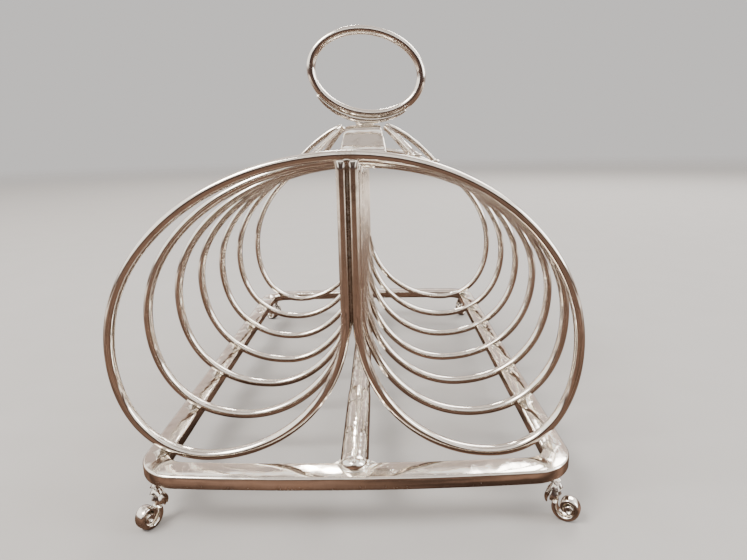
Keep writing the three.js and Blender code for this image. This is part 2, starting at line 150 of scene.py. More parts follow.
class Skin:
    """One piece being made: rings of points joined by faces, with a crevice value per vertex."""

    def __init__(self):
        self.bm = bmesh.new()
        self.crevice = self.bm.verts.layers.float.new("crevice")

    def vert(self, point, crevice=0.0):
        place = Vector(point) + MIDDLE
        place.z = max(place.z, 0.0)
        made = self.bm.verts.new(place * MM)
        made[self.crevice] = min(1.0, max(0.0, crevice))
        return made

    def ring(self, points, crevice=0.0):
        if callable(crevice):
            return [self.vert(p, crevice(Vector(p))) for p in points]
        return [self.vert(p, crevice) for p in points]

    def bridge(self, first, second):
        count = len(first)
        for i in range(count):
            j = (i + 1) % count
            self.bm.faces.new((first[i], first[j], second[j], second[i]))

    def cap(self, ring, tip):
        """Closes a ring with a fan to one point."""
        count = len(ring)
        for i in range(count):
            self.bm.faces.new((ring[(i + 1) % count], ring[i], tip))

    def loft(self, rings, closed=False, crevice=0.0):
        """Joins rings of points in order; open lofts get fans at both ends."""
        made = [self.ring(points, crevice) for points in rings]
        for first, second in zip(made, made[1:]):
            self.bridge(first, second)
        if closed:
            self.bridge(made[-1], made[0])
            return
        for ring, points in ((made[0], rings[0]), (made[-1], rings[-1])):
            middle = sum((Vector(p) for p in points), Vector()) / len(points)
            value = crevice(middle) if callable(crevice) else crevice
            tip = self.vert(middle, value)
            if ring is made[0]:
                self.cap(ring, tip)
            else:
                self.cap(list(reversed(ring)), tip)

    def finish(self, name, material, *nodes):
        """Turns the skin into an object that rides on the rack and stands for the nodes."""
        bmesh.ops.recalc_face_normals(self.bm, faces=self.bm.faces[:])
        mesh = bpy.data.meshes.new(name)
        self.bm.to_mesh(mesh)
        self.bm.free()
        for face in mesh.polygons:
            face.use_smooth = True
        piece = bpy.data.objects.new(name, mesh)
        bpy.context.scene.collection.objects.link(piece)
        mesh.materials.append(material)
        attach(piece, "root")
        if nodes:
            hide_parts(*nodes)
        return piece


def oval(half_a, half_b, power=2.0, sides=20):
    """Points (a, b) round a section; power 2 is an ellipse and more squares it off."""
    points = []
    for i in range(sides):
        angle = 2 * math.pi * (i + 0.5) / sides
        cos, sin = math.cos(angle), math.sin(angle)
        a = half_a * math.copysign(abs(cos) ** (2 / power), cos)
        b = half_b * math.copysign(abs(sin) ** (2 / power), sin)
        points.append((a, b))
    return points


def place_section(centre, axis_a, axis_b, section):
    return [centre + axis_a * a + axis_b * b for a, b in section]


def bezier_points(points, count):
    """count + 1 places on a cubic curve."""
    a, b, c, d = (Vector(p) for p in points)
    places = []
    for i in range(count + 1):
        t = i / count
        s = 1 - t
        places.append(a * s**3 + b * (3 * s * s * t) + c * (3 * s * t * t) + d * t**3)
    return places


def directions(path):
    """Unit tangents along an open path."""
    last = len(path) - 1
    return [(path[min(i + 1, last)] - path[max(i - 1, 0)]).normalized() for i in range(last + 1)]


def even_path(path, step):
    """The same line with places an even step apart."""
    lengths = [0.0]
    for a, b in zip(path, path[1:]):
        lengths.append(lengths[-1] + (b - a).length)
    count = max(2, round(lengths[-1] / step))
    places = []
    k = 0
    for i in range(count + 1):
        goal = lengths[-1] * i / count
        while k < len(path) - 2 and lengths[k + 1] < goal:
            k += 1
        span = lengths[k + 1] - lengths[k]
        share = 0 if span == 0 else (goal - lengths[k]) / span
        places.append(path[k].lerp(path[k + 1], share))
    return places


def sweep(skin, path, section_at, side_at, crevice=0.0):
    """Sweeps sections along a path. section_at(i) gives (a, b) points, side_at(tangent) axis b."""
    rings = []
    for i, (place, tangent) in enumerate(zip(path, directions(path))):
        axis_b = side_at(tangent)
        axis_a = tangent.cross(axis_b).normalized()
        rings.append(place_section(place, axis_a, axis_b, section_at(i)))
    skin.loft(rings, crevice=crevice)


def round_end(share, dome):
    """Scale of a section that closes in a dome over the first and last part of a sweep."""
    near = min(share, 1 - share) / dome
    if near >= 1:
        return 1.0
    return math.sqrt(max(0.0, 1 - (1 - near) ** 2)) * 0.97 + 0.03


# ------------------------------------------------------------------ materials


def ramp(tree, low, high, low_value=0.0, high_value=1.0):
    """A map-range node with a smooth step."""
    node = tree.nodes.new("ShaderNodeMapRange")
    node.interpolation_type = "SMOOTHSTEP"
    node.inputs["From Min"].default_value = low
    node.inputs["From Max"].default_value = high
    node.inputs["To Min"].default_value = low_value
    node.inputs["To Max"].default_value = high_value
    return node


def noise_node(tree, coords, scale, detail, stretch=None):
    """Noise over object coordinates; stretch is a scale per axis, scale is per metre."""
    node = tree.nodes.new("ShaderNodeTexNoise")
    node.inputs["Scale"].default_value = scale
    node.inputs["Detail"].default_value = detail
    if stretch:
        mapping = tree.nodes.new("ShaderNodeMapping")
        mapping.inputs["Scale"].default_value = stretch
        tree.links.new(coords, mapping.inputs["Vector"])
        coords = mapping.outputs["Vector"]
    tree.links.new(coords, node.inputs["Vector"])
    return node.outputs["Fac"]


def math_node(tree, operation, a, b):
    node = tree.nodes.new("ShaderNodeMath")
    node.operation = operation
    node.use_clamp = operation in ("ADD", "MULTIPLY")
    for socket, value in zip(node.inputs, (a, b)):
        if hasattr(value, "links"):
            tree.links.new(value, socket)
        else:
            socket.default_value = value
    return node.outputs[0]


def plus(tree, a, b):
    """Sum that may be negative or above one."""
    total = math_node(tree, "ADD", a, b)
    total.node.use_clamp = False
    return total


def mix_colour(tree, share, a, b):
    node = tree.nodes.new("ShaderNodeMix")
    node.data_type = "RGBA"
    tree.links.new(share, node.inputs["Factor"])
    for socket, value in ((node.inputs[6], a), (node.inputs[7], b)):
        if hasattr(value, "links"):
            tree.links.new(value, socket)
        else:
            socket.default_value = (*value, 1.0)
    return node.outputs[2]


def silver(
    name,
    tint=(0.93, 0.905, 0.865),
    rough=(0.05, 0.16),
    waves=(70.0, 0.35),
    scratches=(1.0, 1.0, 1.0),
    tarnish=0.35,
    pits=0.0,
):
    """Polished silver: uneven polish, fine scratches, hand-finished waves and tarnish in crevices.

    waves is (scale per metre, strength); scratches is how each axis squeezes the scratch lines;
    tarnish is how far the clean faces are dulled; pits adds casting pits.
    """
    material = bpy.data.materials.new(name)
    material.use_nodes = True
    tree = material.node_tree
    shader = tree.nodes["Principled BSDF"]
    shader.inputs["Metallic"].default_value = 1.0
    coords = tree.nodes.new("ShaderNodeTexCoord").outputs["Object"]
    attribute = tree.nodes.new("ShaderNodeAttribute")
    attribute.attribute_name = "crevice"
    crevice = attribute.outputs["Fac"]

    # cloudy polish: broad smears and fine haze
    smears = noise_node(tree, coords, 240.0, 4.0)
    haze = noise_node(tree, coords, 1900.0, 3.0)
    broad = math_node(tree, "MULTIPLY", smears, 0.7)
    polish = math_node(tree, "ADD", broad, math_node(tree, "MULTIPLY", haze, 0.3))

    # fine scratches: noise squeezed hard along one direction, kept only near its crest
    lines = noise_node(tree, coords, 2600.0, 2.0, scratches)
    line_ramp = ramp(tree, 0.60, 0.68)
    tree.links.new(lines, line_ramp.inputs["Value"])
    scratch = line_ramp.outputs["Result"]

    # tarnish gathers in crevices and in faint clouds
    clouds = noise_node(tree, coords, 320.0, 5.0)
    cloud_ramp = ramp(tree, 0.50, 0.78, 0.0, tarnish)
    tree.links.new(clouds, cloud_ramp.inputs["Value"])
    grain = noise_node(tree, coords, 2200.0, 4.0)
    grain_ramp = ramp(tree, 0.32, 0.62, 0.35, 1.0)
    tree.links.new(grain, grain_ramp.inputs["Value"])
    in_crevice = math_node(tree, "MULTIPLY", crevice, grain_ramp.outputs["Result"])
    dull = math_node(tree, "ADD", in_crevice, cloud_ramp.outputs["Result"])

    warm = tuple(c * k for c, k in zip(tint, (0.97, 0.90, 0.80)))
    clean = mix_colour(tree, smears, tint, warm)
    colour = mix_colour(tree, dull, clean, (0.20, 0.145, 0.095))
    tree.links.new(colour, shader.inputs["Base Color"])

    rough_ramp = ramp(tree, 0.30, 0.72, rough[0], rough[1])
    tree.links.new(polish, rough_ramp.inputs["Value"])
    worn = math_node(tree, "MULTIPLY", scratch, 0.10)
    scratched = math_node(tree, "ADD", rough_ramp.outputs["Result"], worn)
    roughness = math_node(tree, "ADD", scratched, math_node(tree, "MULTIPLY", dull, 0.30))
    tree.links.new(roughness, shader.inputs["Roughness"])

    wave = noise_node(tree, coords, waves[0], 2.0)
    wave_bump = tree.nodes.new("ShaderNodeBump")
    wave_bump.inputs["Strength"].default_value = waves[1]
    wave_bump.inputs["Distance"].default_value = 0.0012
    tree.links.new(wave, wave_bump.inputs["Height"])
    grooves = math_node(tree, "MULTIPLY", scratch, 0.2)
    fine = math_node(tree, "ADD", grooves, math_node(tree, "MULTIPLY", haze, 0.4))
    if pits:
        cells = tree.nodes.new("ShaderNodeTexVoronoi")
        cells.inputs["Scale"].default_value = 900.0
        tree.links.new(coords, cells.inputs["Vector"])
        pit_ramp = ramp(tree, 0.05, 0.28, pits, 0.0)
        tree.links.new(cells.outputs["Distance"], pit_ramp.inputs["Value"])
        fine = math_node(tree, "SUBTRACT", fine, pit_ramp.outputs["Result"])
    fine_bump = tree.nodes.new("ShaderNodeBump")
    fine_bump.inputs["Strength"].default_value = 0.12
    fine_bump.inputs["Distance"].default_value = 0.00004
    tree.links.new(fine, fine_bump.inputs["Height"])
    tree.links.new(wave_bump.outputs["Normal"], fine_bump.inputs["Normal"])
    tree.links.new(fine_bump.outputs["Normal"], shader.inputs["Normal"])
    return material


# ------------------------------------------------------------------ base frame


def bowed_outline(half_width, half_length, radius, bow):
    """Rounded rectangle with its two short ends bowed outwards, as evenly indexed points."""
    points = []
    reach = half_width - radius
    end_steps, corner_steps, side_steps = 48, 16, 70
    corner_y = half_length - bow - radius

    def corner(side, middle_y, angle):
        x = reach + radius * math.cos(angle)
        y = middle_y + radius * math.sin(angle)
        return Vector((side * x, side * y, 0))

    for side in (1, -1):
        for i in range(end_steps):
            x = side * reach * (2 * i / end_steps - 1)
            points.append(Vector((x, side * (half_length - bow * (x / reach) ** 2), 0)))
        for i in range(corner_steps):
            points.append(corner(side, corner_y, math.pi / 2 * (1 - i / corner_steps)))
        for i in range(side_steps):
            points.append(Vector((side * half_width, side * corner_y * (1 - 2 * i / side_steps), 0)))
        for i in range(corner_steps):
            points.append(corner(side, -corner_y, -math.pi / 2 * i / corner_steps))
    return points


def strip_section(width, height):
    """Half-soft bar: crowned top, rounded upper edges, a straight flank and a bevelled foot."""
    points = []
    edge = 0.55
    foot = 0.42
    half = width / 2
    for i in range(7):
        angle = math.pi / 2 * i / 6
        points.append((half - edge + edge * math.cos(angle), height - edge + edge * math.sin(angle)))
    for share in (0.6, 0.2, -0.2, -0.6):
        points.append((share * (half - edge), height + FRAME_CROWN * (1 - share * share)))
    for i in range(7):
        angle = math.pi / 2 * (1 + i / 6)
        points.append((-half + edge + edge * math.cos(angle), height - edge + edge * math.sin(angle)))
    flank = ((half, height * 0.5), (half, foot), (half - foot * 0.35, foot * 0.28), (half - foot, 0))
    points += [(-x, z) for x, z in flank]
    points += [(0, 0), *reversed(flank)]
    return points


def base_frame(material):
    low, high = mm_box("base_frame")
    half_width = (high.x - low.x) / 2
    half_length = (high.y - low.y) / 2
    height = high.z - low.z - FRAME_CROWN
    outer = bowed_outline(half_width, half_length, FRAME_CORNER_RADIUS, FRAME_END_BOW)
    inner = bowed_outline(
        half_width - FRAME_SIDE_STRIP,
        half_length - FRAME_END_STRIP,
        FRAME_CORNER_RADIUS - FRAME_SIDE_STRIP,
        FRAME_END_BOW,
    )
    rings = []
    for out, inn in zip(outer, inner):
        middle = (out + inn) / 2
        across = (out - inn).normalized()
        width = (out - inn).length - 0.12 * (1 + wobble(middle, 9.0, 1))
        dip = 0.07 * (wobble(middle, 13.0, 2) - 0.6)
        ring = []
        for a, z in strip_section(width, height):
            lift = dip * smooth_step(0.5, 1.0, z / height)
            ring.append(middle + across * a + Vector((0, 0, low.z + z + lift)))
        rings.append(ring)
    skin = Skin()
    skin.loft(rings, closed=True, crevice=lambda p: 0.55 * smooth_step(low.z + 0.9, low.z + 0.1, p.z))
    skin.finish("frame_strip", material, "base_frame")


def rail_stations(low_y, high_y, half):
    """Places along the bar with how full it is there: crowded and tapering in the two round ends."""
    tip_steps, body_steps = 22, 170
    tips = [math.pi / 2 * i / tip_steps for i in range(tip_steps)]
    stations = [(low_y + half * (1 - math.cos(angle)), math.sin(angle)) for angle in tips]
    for i in range(body_steps + 1):
        stations.append((low_y + half + (high_y - low_y - 2 * half) * i / body_steps, 1.0))
    stations += [(high_y - half * (1 - math.cos(angle)), math.sin(angle)) for angle in reversed(tips)]
    return stations


def centre_rail(material, solder):
    low, high = mm_box("centre_rail")
    half = (high.x - low.x) / 2
    frame_high = mm_box("base_frame")[1]
    foot = frame_high.z - RAIL_SINK
    rings = []
    for y, full in rail_stations(low.y, high.y, half):
        full = max(full, 0.02)
        width = half * full
        # the bar is a little narrower everywhere behind its front end
        width *= 1 - 0.07 * smooth_step(-40.0, -36.0, y) - 0.012 * (1 + wobble((0, y, 0), 8.0, 3))
        crown = high.z - 0.05 - 0.10 * (1 + wobble((5, y, 0), 10.0, 4))
        crown = foot + (crown - foot) * full**0.3
        ring = []
        for k in range(17):
            angle = math.pi * k / 16
            flank = 0.45 * full
            x = width * math.cos(angle)
            z = foot + flank + (crown - foot - flank) * math.sin(angle) ** 0.9
            ring.append(Vector((x, y, z)))
        ring.append(Vector((-width * 1.01, y, foot)))
        ring.append(Vector((width * 1.01, y, foot)))
        rings.append(ring)
    skin = Skin()
    skin.loft(rings, crevice=lambda p: 0.6 * smooth_step(foot + 0.7, foot + 0.1, p.z))
    skin.finish("centre_bar", material, "centre_rail")
    joints = Skin()
    for end in (-1, 1):
        tongue_fillet(joints, end, high.y, half, frame_high.z)
        for side in (-1, 1):
            corner = Vector((side * half, end * (frame_high.y - FRAME_END_STRIP + 0.5), frame_high.z))
            star(joints, corner, 1.9, 0.9, 0.75, 0.25)
    joints.finish("centre_bar_solder", solder)


def tongue_fillet(skin, end, tip_y, half, top):
    """A thin line of solder that runs round the bar's tongue on an end strip."""
    straight = tip_y - half
    back = mm_box("base_frame")[1].y - FRAME_END_STRIP + 0.2
    path = [Vector((half, end * back, top)), Vector((half, end * straight, top))]
    for i in range(1, 24):
        angle = math.pi * i / 24
        path.append(Vector((half * math.cos(angle), end * (straight + half * math.sin(angle)), top)))
    path += [Vector((-half, end * straight, top)), Vector((-half, end * back, top))]
    path = even_path(path, 0.3)

    def section(i):
        width = 0.34 + 0.07 * wobble(path[i], 1.6, 14)
        return oval(width, 0.36, 2.0, 12)

    sweep(skin, path, section, lambda tangent: Vector((0, 0, 1)), crevice=0.35)


# ------------------------------------------------------------------ hoops


def lobe_path(low, high, rank, side):
    """One half of a hoop in X and Z: upright's top, lobe, and up to the arch's middle.

    side is 1 for the right-hand lobe and -1 for the left, which comes out mirrored.
    """
    both = (high.x - low.x) / 2 - WIRE_IN_PLANE
    width = (high.x if side > 0 else -low.x) - WIRE_IN_PLANE
    top = high.z - WIRE_IN_PLANE
    bottom_z = low.z + WIRE_IN_PLANE
    widest_z = LOBE_WIDEST_Z[rank]
    bottom_x = LOBE_BOTTOM_X[rank] * width / both
    foot_z = top - UPRIGHT_FOOT_BELOW_TOP
    inner = bottom_x - UPRIGHT_OFFSET
    outer = width - bottom_x

    def at(x, z):
        return Vector((x, 0, z))

    upright = [at(UPRIGHT_OFFSET, top - 0.5), at(UPRIGHT_OFFSET, foot_z)]
    descent = bezier_points((
        at(UPRIGHT_OFFSET, foot_z),
        at(UPRIGHT_OFFSET, foot_z - UPRIGHT_PULL * (foot_z - bottom_z)),
        at(bottom_x - LOWEST_PULL * inner, bottom_z),
        at(bottom_x, bottom_z),
    ), 90)
    flank = bezier_points((
        at(bottom_x, bottom_z),
        at(bottom_x + CORNER_PULL * outer, bottom_z),
        at(width, widest_z - CORNER_PULL * (widest_z - bottom_z)),
        at(width, widest_z),
    ), 70)
    crown = bezier_points((
        at(width, widest_z),
        at(width, widest_z + ARCH_PULL * (top - widest_z)),
        at(ARCH_PULL * width, top),
        at(0, top),
    ), 90)
    return upright + descent[1:] + flank[1:] + crown[1:]


def hoop(index, material, solder):
    name = f"hoop_{index + 1}"
    low, high = mm_box(name)
    rank = min(index, HOOP_COUNT - 1 - index)
    y = (low.y + high.y) / 2
    right = lobe_path(low, high, rank, 1)
    left = [Vector((-p.x, 0, p.z)) for p in reversed(lobe_path(low, high, rank, -1)[:-1])]
    path = even_path(right + left, HOOP_STEP)
    strip_x = mm_box("base_frame")[1].x - FRAME_SIDE_STRIP / 2
    strip_top = mm_box("base_frame")[1].z
    last = len(path) - 1
    top = high.z - WIRE_IN_PLANE
    placed = []
    for place in path:
        # hand-bent wire: a slow drift along the rack, none at the joints
        drift = 0.22 * wobble((place.x, index * 31.0, place.z), 26.0, 5)
        hold = smooth_step(3.0, 12.0, abs(abs(place.x) - strip_x) + abs(place.z - strip_top))
        hold *= smooth_step(2.0, 9.0, abs(place.x))
        placed.append(Vector((place.x, y + drift * hold, place.z)))

    def section(i):
        place = placed[i]
        thin = 1 - 0.035 * (1 + wobble((place.x, index * 17.0, place.z), 11.0, 6))
        thin_deep = 1 - 0.03 * (1 + wobble((place.x, index * 23.0, place.z), 15.0, 7))
        head = smooth_step(1.5, 0.5, min(i, last - i) * HOOP_STEP)
        in_plane = WIRE_IN_PLANE * thin * (1 + 0.2 * head)
        deep = WIRE_DEEP * thin_deep * (1 - 0.28 * head)
        return oval(in_plane, deep, 2.25, 22)

    def crevice(p):
        seam = smooth_step(0.55, 0.12, abs(p.x)) * smooth_step(top + 0.3, top - 1.0, p.z)
        joint = smooth_step(2.8, 0.6, math.hypot(abs(p.x) - strip_x, p.z - strip_top))
        under_arch = smooth_step(2.4, 1.0, abs(p.x)) * smooth_step(1.6, 0.8, abs(p.z - top))
        return max(seam, 0.55 * joint, 0.35 * under_arch)

    skin = Skin()
    sweep(skin, placed, section, lambda tangent: ALONG_RACK, crevice=crevice)
    skin.finish(f"{name}_wire", material, name)

    joints = Skin()
    upright_solder(joints, y, top)
    for side in (-1, 1):
        strip_solder(joints, side, y, strip_x, strip_top)
    joints.finish(f"{name}_solder", solder)


def upright_solder(skin, y, top):
    """The seam of solder between the two uprights, fuller where they meet the arch."""
    foot = top - UPRIGHT_FOOT_BELOW_TOP - 3.2
    path = even_path([Vector((0, y, top - 0.3)), Vector((0, y, foot))], 0.8)
    last = len(path) - 1

    def section(i):
        share = i / last
        fill = 0.62 + 0.06 * wobble((y, path[i].z, 0), 5.0, 8)
        head = smooth_step(3.4, 0.0, top - path[i].z)
        tail = math.sqrt(max(0.02, min(1.0, (1 - share) / 0.12)))
        return oval((0.42 + 1.1 * head) * tail, (WIRE_DEEP * fill + 0.34 * head) * tail, 2.0, 16)

    def crevice(p):
        return 0.75 - 0.5 * smooth_step(top - 3, top, p.z)

    sweep(skin, path, section, lambda tangent: ALONG_RACK, crevice=crevice)


def strip_solder(skin, side, y, strip_x, strip_top):
    """A four-pointed star of solder where a hoop's wire crosses the side strip."""
    inside = strip_x - FRAME_SIDE_STRIP / 2
    centre = Vector((side * (inside + 1.9), y, strip_top))
    reach_y = 3.6 + 0.5 * wobble((y, side * 9.0, 0), 7.0, 9)
    star(skin, centre, 2.2, reach_y, 1.05, 0.25)


def star(skin, centre, reach_x, reach_y, height, sink):
    """A mound with four drawn-out points, sunk a little into the face that it lies on."""
    around, out = 44, 9
    # below 1 the outline draws in between its points
    power = 0.85
    rings = []
    for k in range(out + 1):
        share = k / out
        ring = []
        for i in range(around):
            angle = 2 * math.pi * i / around
            cos, sin = math.cos(angle), math.sin(angle)
            reach = (abs(cos / reach_x) ** power + abs(sin / reach_y) ** power) ** (-1 / power)
            point = centre + Vector((cos * reach * (1 - share), sin * reach * (1 - share), 0))
            point.z += height * share**1.7 * (1 + 0.12 * wobble(point, 1.7, 10)) - 0.02
            ring.append(point)
        rings.append(ring)
    rings[-1] = [centre + Vector((0, 0, height)) + (p - centre).normalized() * 0.02 for p in rings[0]]
    base = [Vector((p.x, p.y, centre.z - sink)) for p in rings[0]]
    skin.loft([base] + rings, crevice=lambda p: 0.5 * smooth_step(centre.z + 0.35, centre.z, p.z))


# ------------------------------------------------------------------ handle


def ring_place(angle, grow=0.0):
    """A point on the ring's oval, grown outwards, tilted and in place."""
    x = (RING_HALF_WIDTH + grow) * math.cos(angle)
    z = (RING_HALF_HEIGHT + grow) * math.sin(angle)
    turned = Matrix.Rotation(RING_TILT, 3, "Y") @ Vector((x, 0, z))
    return turned + Vector((RING_X, 0, RING_CENTRE_Z))


def handle_ring(material):
    steps = 220
    rings = []
    for i in range(steps):
        angle = 2 * math.pi * i / steps
        ahead = ring_place(angle + 0.01)
        here = ring_place(angle)
        tangent = (ahead - here).normalized()
        outward = tangent.cross(ALONG_RACK).normalized()
        worn = 1 - 0.045 * (1 + wobble(here, 12.0, 11))
        deep = 1 - 0.03 * (1 + wobble(here, 15.0, 12))
        section = oval(RING_HALF_BAND * worn, RING_HALF_DEEP * deep, 2.3, 28)
        rings.append(place_section(here, outward, ALONG_RACK, section))
    foot_z = RING_CENTRE_Z - RING_HALF_HEIGHT
    skin = Skin()
    skin.loft(rings, closed=True, crevice=lambda p: 0.5 * smooth_step(foot_z + 1.2, foot_z - 0.8, p.z))
    skin.finish("ring_band", material, "handle_ring")


def ring_cradle(material):
    """The crescent under the ring, drawn out to thin ends."""
    steps = 90
    start, turn = math.radians(-140), math.radians(100)
    skin = Skin()
    rings = []
    for i in range(steps + 1):
        share = i / steps
        angle = start + turn * share
        full = math.sin(math.pi * share)
        thick = CRADLE_END_THICK + (CRADLE_THICK + 0.2 - CRADLE_END_THICK) * full
        inner = ring_place(angle, RING_HALF_BAND - 0.35)
        outer = ring_place(angle, RING_HALF_BAND + 0.1 + thick)
        middle = (inner + outer) / 2
        across = (outer - inner) / 2
        ends = round_end(share, 0.06)
        deep = CRADLE_HALF_DEEP * (0.72 + 0.28 * full)
        section = oval(across.length * ends, deep * ends, 2.6, 20)
        rings.append(place_section(middle, across.normalized(), ALONG_RACK, section))
    skin.loft(rings, crevice=lambda p: 0.25)
    # bead between the crescent and the saddle's crown
    crown_z = mm_box("handle_saddle")[1].z
    dome(skin, Vector((SADDLE_X + 0.4, 0, crown_z + 0.55)), 3.0, 1.35, 1.0, 0.45)
    skin.finish("ring_crescent", material, "ring_cradle")


def dome(skin, centre, half_x, half_y, half_z, crevice):
    """A closed egg shape."""
    rings = []
    for k in range(1, 12):
        angle = math.pi * k / 12
        ring = []
        for i in range(24):
            turn = 2 * math.pi * i / 24
            out = math.sin(angle)
            ring.append(centre + Vector((
                half_x * out * math.cos(turn),
                half_y * out * math.sin(turn),
                half_z * math.cos(angle),
            )))
        rings.append(ring)
    skin.loft(rings, crevice=crevice)


def saddle_profile(count):
    """Pairs of (top, underside) places along the rear half of the strap, from crown to toe."""
    low, high = mm_box("handle_saddle")
    foot_y = high.y
    foot_z = low.z
    crown = high.z
    foot_top = foot_z + SADDLE_THICK
    bend_y = foot_y - SADDLE_FOOT_FLAT
    top = bezier_points((
        (0, 3, crown),
        (0, 11.2, crown),
        (0, 13.6, foot_top + 0.6),
        (0, bend_y, foot_top),
    ), count)
    top = even_path([Vector((0, 0, crown))] + top, 0.6)
    under = bezier_points((
        (0, 0, crown - SADDLE_THICK),
        (0, 9.4, crown - 2.2),
        (0, 12.6, foot_z + 0.4),
        (0, bend_y, foot_z),
    ), count)
    under = even_path(under, under_step(under, len(top) - 1))
    toe = 8
    pairs = list(zip(top, under[:len(top)]))
    for i in range(1, toe + 1):
        y = bend_y + SADDLE_FOOT_FLAT * i / toe
        thin = math.sqrt(max(0.0, 1 - (i / toe) ** 3)) * 0.85 + 0.15
        middle = foot_z + SADDLE_THICK * 0.42
        pairs.append((
            Vector((0, y, middle + (foot_top - middle) * thin)),
            Vector((0, y, middle - (middle - foot_z) * thin)),
        ))
    return pairs


def under_step(path, count):
    """The step that cuts a path into count even parts."""
    return sum((b - a).length for a, b in zip(path, path[1:])) / count


def handle_saddle(material):
    pairs = saddle_profile(60)
    low, high = mm_box("handle_saddle")
    foot_y = high.y
    sides = 18
    waist, toe = SADDLE_TOP_HALF_WIDTH, SADDLE_FOOT_HALF_WIDTH
    rear = []
    for top, under in pairs:
        share = smooth_step(0.0, foot_y - 3.0, top.y) ** 1.3
        half = waist + (toe - waist) * share
        half *= math.sqrt(max(0.05, 1 - max(0.0, (top.y - foot_y + 1.6) / 1.7) ** 2))
        rear.append((top, under, half))
    front = [(Vector((0, -t.y, t.z)), Vector((0, -u.y, u.z)), h) for t, u, h in reversed(rear[1:])]
    rings = []
    for top, under, half in front + rear:
        ring = []
        for k in range(sides + 1):
            share = 2 * k / sides - 1
            x = half * math.sin(share * math.pi / 2)
            crown = 0.34 * (share * share) ** 1.4
            edge = smooth_step(0.86, 1.0, abs(share)) * 0.5
            crown += 0.09 * (1 + wobble((x * 0.10, top.y, 0), 2.9, 15))
            upper = Vector((SADDLE_X + x, top.y, top.z - crown))
            flank = Vector((SADDLE_X + x, under.y, (under.z + top.z) / 2))
            ring.append(upper.lerp(flank, edge))
        for k in range(sides - 1, 0, -1):
            share = 2 * k / sides - 1
            x = half * math.sin(share * math.pi / 2)
            ring.append(Vector((SADDLE_X + x, under.y, under.z + 0.05)))
        rings.append(ring)
    skin = Skin()
    skin.loft(rings, crevice=lambda p: 0.4 * smooth_step(low.z + 2.2, low.z + 0.2, p.z))
    skin.finish("saddle_strap", material, "handle_saddle")


def rib(name, points, side_x, side_y, material):
    guide = [Vector((side_x * x, side_y * y, z)) for x, y, z in points]
    path = even_path(bezier_points(guide, 80), 0.35)
    path = [p + Vector((SADDLE_X, 0, 0)) for p in path]
    last = len(path) - 1
    tangents = directions(path)

    def section(i):
        share = i / last
        thin = 1 - 0.04 * (1 + wobble(path[i], 5.0, 13))
        swell = 1 + 0.16 * smooth_step(0.82, 0.97, share)
        ends = round_end(share, 0.035)
        size = thin * swell * ends
        return oval(RIB_HALF_IN_PLANE * size, RIB_HALF_DEEP * size, 2.2, 20)

    def side(tangent):
        flat = Vector((tangent.y, -tangent.x, 0))
        return flat.normalized() if flat.length > 1e-6 else ALONG_RACK

    foot = path[-1]
    skin = Skin()
    sweep(skin, path, section, side, crevice=lambda p: 0.5 * smooth_step(2.2, 0.4, (p - foot).length))
    # solder that ties the rib's foot to the hoop under it
    pad = foot - tangents[-1] * 0.9
    dome(skin, pad + Vector((side_x * 0.4, 0, -0.1)), 1.55, 1.2, 0.62, 0.35)
    skin.finish(f"{name}_bar", material, name)


def ribs(material):
    rib("rib_left", SIDE_RIB, -1, 1, material)
    rib("rib_right", SIDE_RIB, 1, 1, material)
    for end, side_y in (("front", -1), ("rear", 1)):
        for side, side_x in (("left", -1), ("right", 1)):
            rib(f"rib_{end}_{side}", CORNER_RIB, side_x, side_y, material)


# ------------------------------------------------------------------ feet


def scroll_place(t):
    """Centre line of the rolled strip and its half thickness, t from 0 at the knee to 1 at the eye."""
    turn = SCROLL_START + SCROLL_TURN * t
    coil = max(0.0, (math.degrees(turn) - 360) / SCROLL_COIL_DEG)
    radius = SCROLL_RADIUS - (SCROLL_RADIUS - SCROLL_END_RADIUS) * coil
    middle = SCROLL_X + (SCROLL_EYE_X - SCROLL_X) * coil
    place = Vector((middle + radius * math.cos(turn), 0, SCROLL_Z + radius * math.sin(turn)))
    return place, SCROLL_HALF_BAND - 0.22 * coil


def foot_scroll(skin):
    steps = 120
    path, halves = [], []
    for i in range(steps + 1):
        place, half = scroll_place(i / steps)
        path.append(place)
        halves.append(half)

    def section(i):
        share = i / steps
        ends = round_end(share, 0.02)
        return oval((halves[i] - 0.02) * ends, (SCROLL_HALF_WIDTH - 0.1 * share) * ends, 3.2, 20)

    sweep(skin, path, section, lambda tangent: ALONG_RACK)


def foot_eye(skin):
    """Boss in the scroll's middle: a ringed button on each side with a dark dimple."""
    # radius and distance from the scroll's middle plane, from the dimple out to the rim
    profile = (
        (0.16, 1.10), (0.34, 1.12), (0.46, 1.26), (0.60, 1.45),
        (0.78, 1.52), (0.95, 1.44), (1.06, 1.20), (1.10, 0.80),
    )
    outline = list(profile) + [(r, -y) for r, y in reversed(profile)]
    rings = []
    for radius, y in outline:
        ring = []
        for i in range(28):
            turn = 2 * math.pi * i / 28
            x = SCROLL_EYE_X + radius * math.cos(turn)
            ring.append(Vector((x, y, SCROLL_Z + radius * math.sin(turn))))
        rings.append(ring)
    skin.loft(rings, crevice=lambda p: smooth_step(1.30, 1.14, abs(p.y)) * 0.8)


def leaf_tier(share, turn):
    """How far down its own tier of lobes a place on the leaf is, from 0 to 1."""
    return (LEAF_TIERS * share + 0.20 * math.cos(3 * turn)) % 1.0


def leaf_middle(share):
    """The leaf's middle line leans out towards the scroll and then back under the frame."""
    return 0.25 * math.sin(math.pi * share) - 0.35 * share


